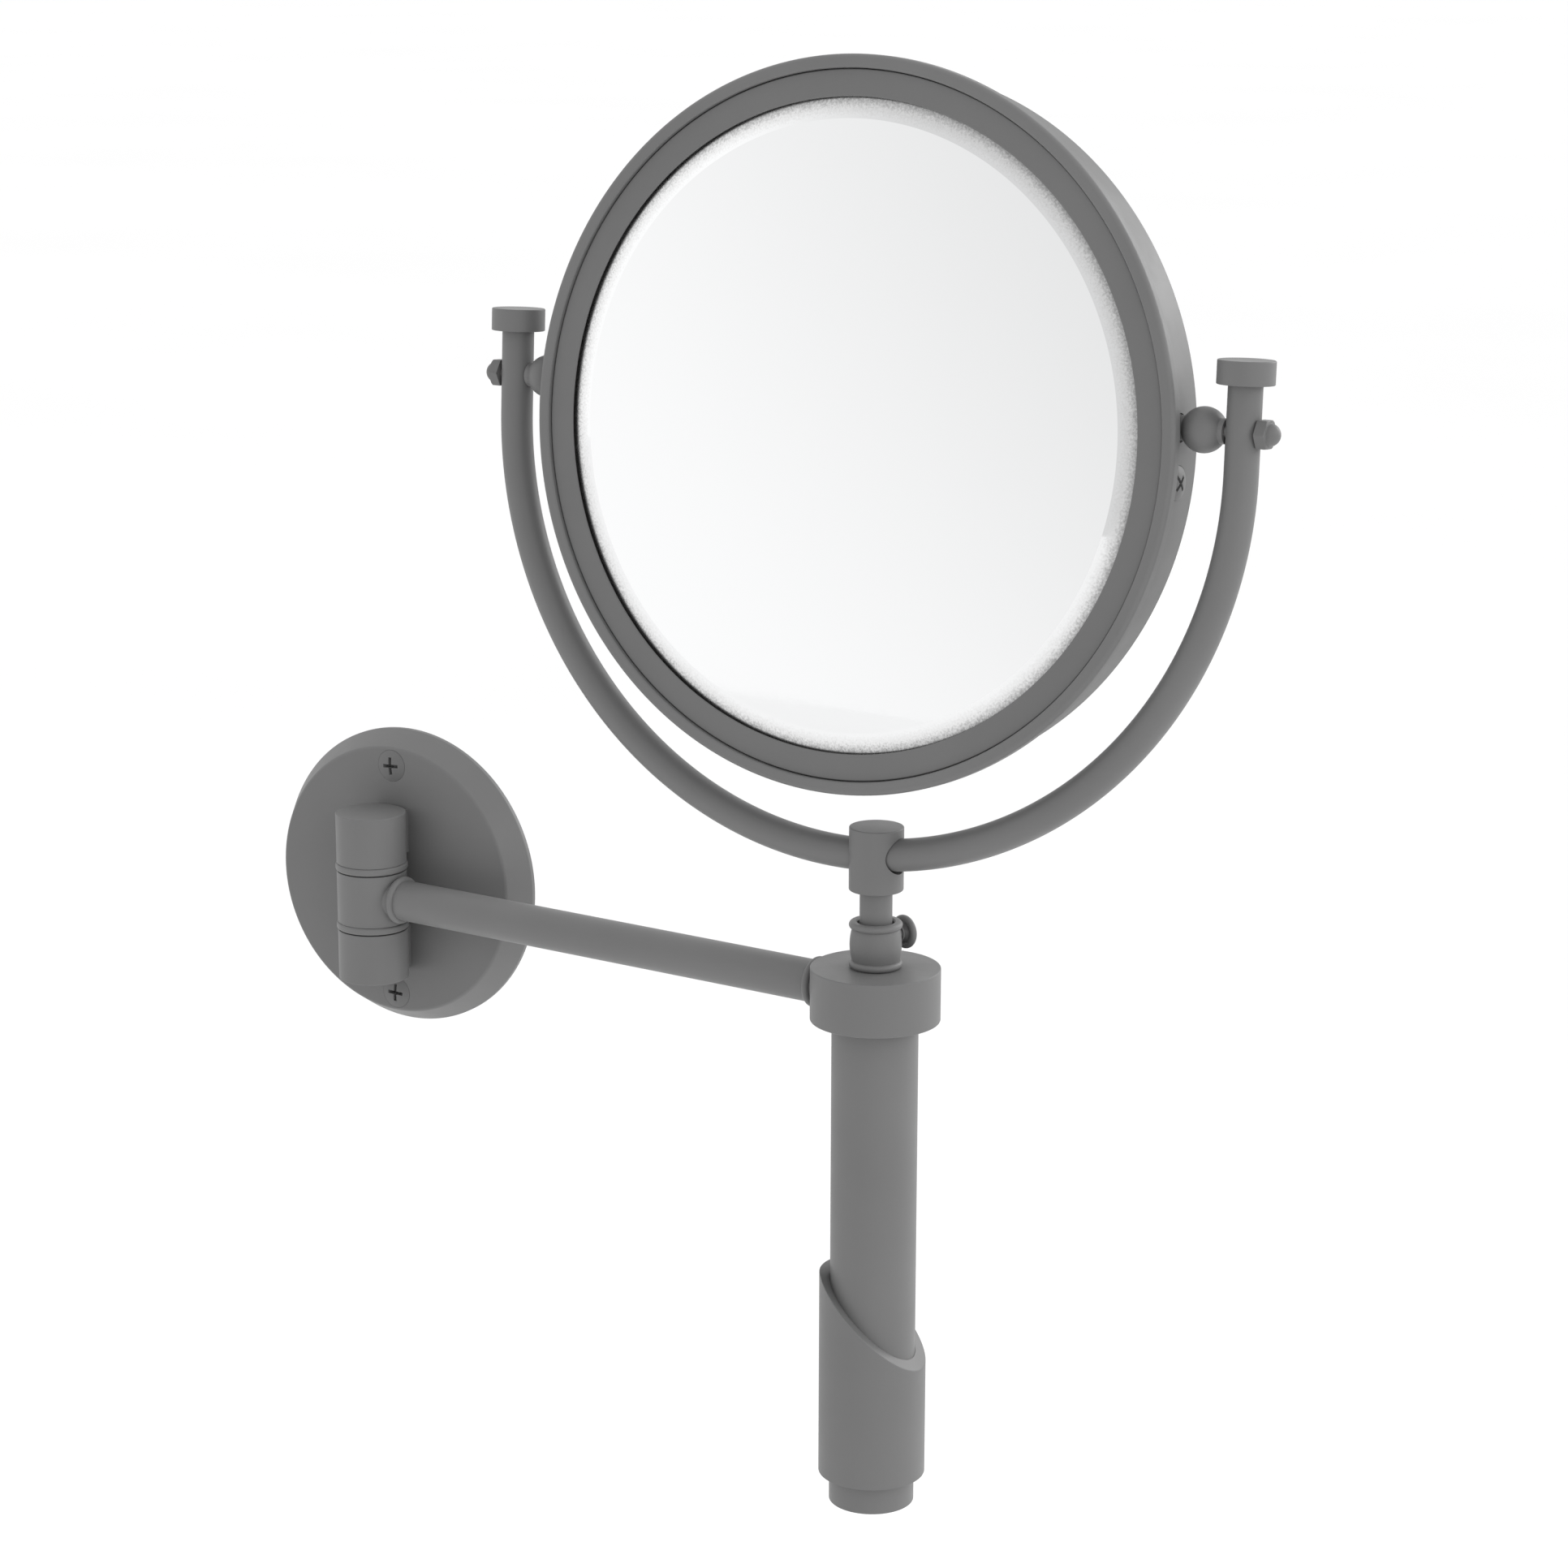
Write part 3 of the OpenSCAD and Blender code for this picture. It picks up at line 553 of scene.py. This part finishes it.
def yoke():
    """U of round tube with straight legs, and a flat cap on each leg."""
    bm = bmesh.new()
    path = []
    leg_top = CAP_Z + 3.2        # each leg ends inside its cap
    for k in range(9):
        path.append((Vector((-YOKE_R, 0, leg_top + (YOKE_C - leg_top) * k / 9)), Vector((-1, 0, 0))))
    for k in range(161):
        t = math.pi + math.pi * k / 160
        out = Vector((math.cos(t), 0, math.sin(t)))
        path.append((Vector((0, 0, YOKE_C)) + out * YOKE_R, out))
    for k in range(1, 10):
        path.append((Vector((YOKE_R, 0, YOKE_C + (leg_top - YOKE_C) * k / 9)), Vector((1, 0, 0))))
    loops = []
    for p, out in path:
        loops.append([AT_YOKE @ ((p + (out * math.cos(a) + Y * math.sin(a)) * ROD_R) * MM)
                      for a in (2 * math.pi * j / 64 for j in range(64))])
    rings(bm, loops)
    piece("yoke_bent_tube", bm, PAINT, "paint", "yoke_tube")
    bm = bmesh.new()
    for s in (-1, 1):
        lathe(bm, rounded([(0, CAP_Z), (CAP_R, CAP_Z, 0.3), (CAP_R, CAP_Z + CAP_H, 0.35),
                           (0, CAP_Z + CAP_H)]),
              shift(AT_YOKE, s * YOKE_R), 96)
    piece("yoke_cap_pair", bm, PAINT, "paint", "yoke_caps")


def pivot_place(s):
    return shift(AT_YOKE, 0, 0, PIVOT_Z) @ Matrix.Rotation(s * math.pi / 2, 4, "Y")


def pivots():
    band_side = math.sqrt(BAND_R ** 2 - PIVOT_UP ** 2)
    ball_in, ball_out = band_side + 0.32, YOKE_R - ROD_R - 0.02
    ball_mid = (ball_in + ball_out) / 2
    lip = math.degrees(math.asin(NECK_R / BALL_R))
    outline = line((2.05, ball_in), (NECK_R, ball_in))
    outline += arc(0, ball_mid, BALL_R, -90 + lip, 90 - lip, 32)
    outline += line((NECK_R, ball_out), (2.05, ball_out))
    bm = bmesh.new()
    for s in (-1, 1):
        lathe(bm, outline, pivot_place(s), 96)
    piece("pivot_ball_pair", bm, PAINT, "paint", "pivot_balls", sharp=40)
    bm = bmesh.new()
    for s in (-1, 1):
        acorn(bm, pivot_place(s), YOKE_R + ROD_R + 0.05)
    piece("acorn_nut_pair", bm, PAINT_SCREW_SHADED, "paint", "acorn_nuts", sharp=30)


def acorn(bm, place, z0, seg=96):
    """Domed nut: chamfered hexagon, short neck and a round dome."""
    top = z0 + NUT_TALL
    corner = NUT_FLAT / math.cos(math.pi / 6)
    loops = []
    levels = [(z0, 0.1), (z0 + 0.15, 0.0), (top - 0.5, 0), (top - 0.3, 0.1), (top - 0.12, 0.3), (top, 0.62)]
    for z, cut in levels:
        loop = []
        for k in range(seg):
            t = 2 * math.pi * k / seg
            off = (t + math.pi / 6) % (math.pi / 3) - math.pi / 6
            r = min(NUT_FLAT / math.cos(off), corner - cut)
            loop.append(place @ (Vector((r * math.cos(t), r * math.sin(t), z)) * MM))
        loops.append(loop)
    for r, dz in [(DOME_R + 0.1, 0.0), (DOME_R, 0.1)] + [tuple(p) for p in arc(0, -0.3, DOME_R, 8, 88, 16)]:
        loops.append([place @ (Vector((r * math.cos(t), r * math.sin(t), top + dz)) * MM)
                      for t in (2 * math.pi * k / seg for k in range(seg))])
    rings(bm, loops)


# ---------------------------------------------------------------- mirror
def frame_screw_place(s):
    """On the band's side, just below the pivot, with Z pointing outwards."""
    low = PIVOT_UP - FRAME_SCREW_DROP
    side = math.sqrt(BAND_R ** 2 - low ** 2) - 0.1
    return shift(AT_FACE, s * side, low) @ Matrix.Rotation(s * math.pi / 2, 4, "Y")


def mirror_frame():
    cuts = []
    for s in (-1, 1):
        seat, bush = bmesh.new(), bmesh.new()
        lathe(seat, line((0, 0.1), (4.86, 0.1), (4.86, 4), (0, 4)), frame_screw_place(s), 96)
        lathe(bush, line((0, 90), (4.02, 90), (4.02, 105), (0, 105)),
              shift(AT_FACE, 0, PIVOT_UP) @ Matrix.Rotation(s * math.pi / 2, 4, "Y"), 64)
        cuts += [seat, bush]
    turned("band_turned", [(BAND_IN, -FACE, 0.3), (BAND_R, -FACE, 0.5), (BAND_R, BAND_TOP),
                           (BAND_IN, BAND_TOP)],
           AT_FACE, PAINT, "paint", "mirror_band", seg=256, cutters=cuts)
    turned("bezel_turned", [(BEZEL_IN, BEZEL_BACK), (HEAD_R, BEZEL_BACK, 0.35), (HEAD_R, FACE, 1.5),
                            (BEZEL_IN, FACE, 0.7)],
           AT_FACE, PAINT, "paint", "front_bezel", seg=256)
    for name, turn in (("front_ring", 0), ("rear_ring", math.pi)):
        bm = bmesh.new()
        place = AT_FACE @ Matrix.Rotation(turn, 4, "X")
        lathe(bm, rounded([(RING_IN, RING_BACK, 0.15), (RING_OUT, RING_BACK), (RING_OUT, RING_FACE, 0.35),
                           (RING_IN, RING_FACE, 0.4)]), place, 256)
        lathe(bm, line((95.45, 5.3), (98.26, 5.3), (98.26, 8.6), (95.45, 8.6)), place, 256)
        piece(name + "_turned", bm, PAINT_RING_SHADED, "paint", name)


def glass():
    """Bevelled plain glass in front and dished magnifying glass behind."""
    bm = bmesh.new()
    flat_r = RING_IN - BEVEL_W
    rim = GLASS_FRONT - BEVEL_DROP
    outline = line((0, GLASS_BACK), (GLASS_R, GLASS_BACK), (GLASS_R, rim), (RING_IN, rim),
                   (flat_r, GLASS_FRONT), (flat_r * 0.5, GLASS_FRONT), (0, GLASS_FRONT))
    lathe(bm, outline, AT_FACE, 256)
    piece("front_glass_bevelled", bm, FRONT_SILVER, "mirror_glass", "front_glass", sharp=3)
    bm = bmesh.new()
    dish_r, steps = RING_IN - 1, 24
    outline = line((0, GLASS_BACK), (GLASS_R, GLASS_BACK), (GLASS_R, rim))
    outline += [Vector((dish_r * k / steps, rim - REAR_DISH * (1 - (k / steps) ** 2)))
                for k in range(steps, -1, -1)]
    lathe(bm, outline, AT_FACE @ Matrix.Rotation(math.pi, 4, "X"), 256)
    piece("rear_glass_dished", bm, REAR_SILVER, "mirror_glass", "rear_glass", sharp=3)


def frame_screws():
    bm = bmesh.new()
    cuts = []
    head = line((0, -2), (1.5, -2), (1.5, 0.1), (4.68, 0.12), (FRAME_SCREW_R, 0.38))
    head += dome(FRAME_SCREW_R, 0.3, 0.35)
    for s in (-1, 1):
        at = frame_screw_place(s)
        lathe(bm, head, at, 72)
        cuts.append(cross_cutter(shift(at, 0, 0, 1.28) @ Matrix.Rotation(math.pi / 4, 4, "Z"),
                                 5.6, 1.0, 1.12, 0.9))
    piece("frame_screw_pair", bm, PAINT_SCREW_SHADED, "paint", "frame_screws", cutters=cuts)


def dress_kept_nodes():
    """Gives the solids that stay in sight their materials; the replaced ones all get paint."""
    kept = {"hinge_saddles": PAINT, "hinge_pin": STEEL, "clamp_tip": NYLON, "rod_bush": NYLON,
            # the pivot bushes get the near black nylon as painted shade
            "rod_keepers": STEEL, "pivot_studs": STEEL, "spacer_ring": CORE, "pivot_bushes": GAP_SHADE_NYLON}
    for name, mat in kept.items():
        obj = frame["nodes"][name]
        obj.data.materials.clear()
        obj.data.materials.append(mat)
    for name, obj in frame["nodes"].items():
        if name not in kept:
            obj.data.materials.clear()
            obj.data.materials.append(PAINT)


# ---------------------------------------------------------------- stage
FLOOR_Z, FLOOR_R, FLOOR_CENTRE = -1.25, 45.0, (-16.0, 27.0)
LIGHT_AIM = Vector((0.17, -0.02, 0.08))
CAMERA_AT, CAMERA_DOWN, CAMERA_TURN, CAMERA_ROLL = (0.7054, -0.9765, 0.3236), 13.77, 30.13, 0.147
ROOM_WHITE, ROOM_DIM = 1.10, 0.74       # the room is dimmer on the side the viewer stands on
DIM_SIDE, DIM_FROM, DIM_TO = Vector((0.10, -0.90, 0.42)).normalized(), 0.64, 0.86


def floor():
    mat, nt, shader, co = node_tools("pale_floor")
    nt.links.new(ramp(nt, noise(nt, co, 0.6, 2), [(0.3, grey(0.965)), (0.7, grey(0.98))]),
                 shader.inputs["Base Color"])
    shader.inputs["Roughness"].default_value = 0.9
    shader.inputs["Specular IOR Level"].default_value = 0.1
    bm = bmesh.new()
    bmesh.ops.create_circle(bm, cap_ends=True, radius=FLOOR_R, segments=128)
    mesh = bpy.data.meshes.new("floor")
    bm.to_mesh(mesh)
    bm.free()
    mesh.materials.append(mat)
    obj = bpy.data.objects.new("floor", mesh)
    obj.location = (*FLOOR_CENTRE, FLOOR_Z)
    bpy.context.scene.collection.objects.link(obj)


def room():
    """White room, softly dimmer towards one side, given by direction alone."""
    world = bpy.data.worlds.new("studio")
    world.use_nodes = True
    nt = world.node_tree
    bg = nt.nodes["Background"]
    side = nt.nodes.new("ShaderNodeVectorMath")
    side.operation = "DOT_PRODUCT"
    nt.links.new(nt.nodes.new("ShaderNodeTexCoord").outputs["Generated"], side.inputs[0])
    side.inputs[1].default_value = DIM_SIDE
    fade = nt.nodes.new("ShaderNodeMapRange")
    fade.interpolation_type = "SMOOTHSTEP"
    fade.inputs["From Min"].default_value, fade.inputs["From Max"].default_value = DIM_FROM, DIM_TO
    fade.inputs["To Min"].default_value, fade.inputs["To Max"].default_value = ROOM_WHITE, ROOM_DIM
    nt.links.new(side.outputs["Value"], fade.inputs["Value"])
    nt.links.new(fade.outputs["Result"], bg.inputs["Strength"])
    bg.inputs["Color"].default_value = (1, 1, 1, 1)
    bpy.context.scene.world = world
    bpy.context.scene.view_settings.view_transform = "Standard"


def area_light(name, at, size, power):
    data = bpy.data.lights.new(name, "AREA")
    data.shape, data.size, data.energy = "DISK", size, power
    obj = bpy.data.objects.new(name, data)
    obj.location = at
    obj.rotation_euler = (LIGHT_AIM - Vector(at)).to_track_quat("-Z", "Y").to_euler()
    obj.visible_camera = False
    bpy.context.scene.collection.objects.link(obj)


def lights():
    area_light("far_right_high", (1.3, 2.3, 1.0), 1.5, 24)
    area_light("right_side", (2.3, 0.3, 1.0), 0.8, 7)
    area_light("front_soft", (1.9, -1.7, 1.0), 0.35, 3)


def camera():
    data = bpy.data.cameras.new("camera")
    data.sensor_width, data.lens = 36, 88.5
    data.clip_end = 500
    obj = bpy.data.objects.new("camera", data)
    obj.location = CAMERA_AT
    aim = Euler((math.radians(90 - CAMERA_DOWN), 0, math.radians(CAMERA_TURN))).to_matrix()
    obj.rotation_euler = (aim @ Matrix.Rotation(math.radians(CAMERA_ROLL), 3, "Z")).to_euler()
    bpy.context.scene.collection.objects.link(obj)
    bpy.context.scene.camera = obj


backplate()
wall_screws()
hinge()
arm()
post()
clamp()
rod_and_hub()
yoke()
pivots()
mirror_frame()
glass()
frame_screws()
dress_kept_nodes()
floor()
room()
lights()
camera()
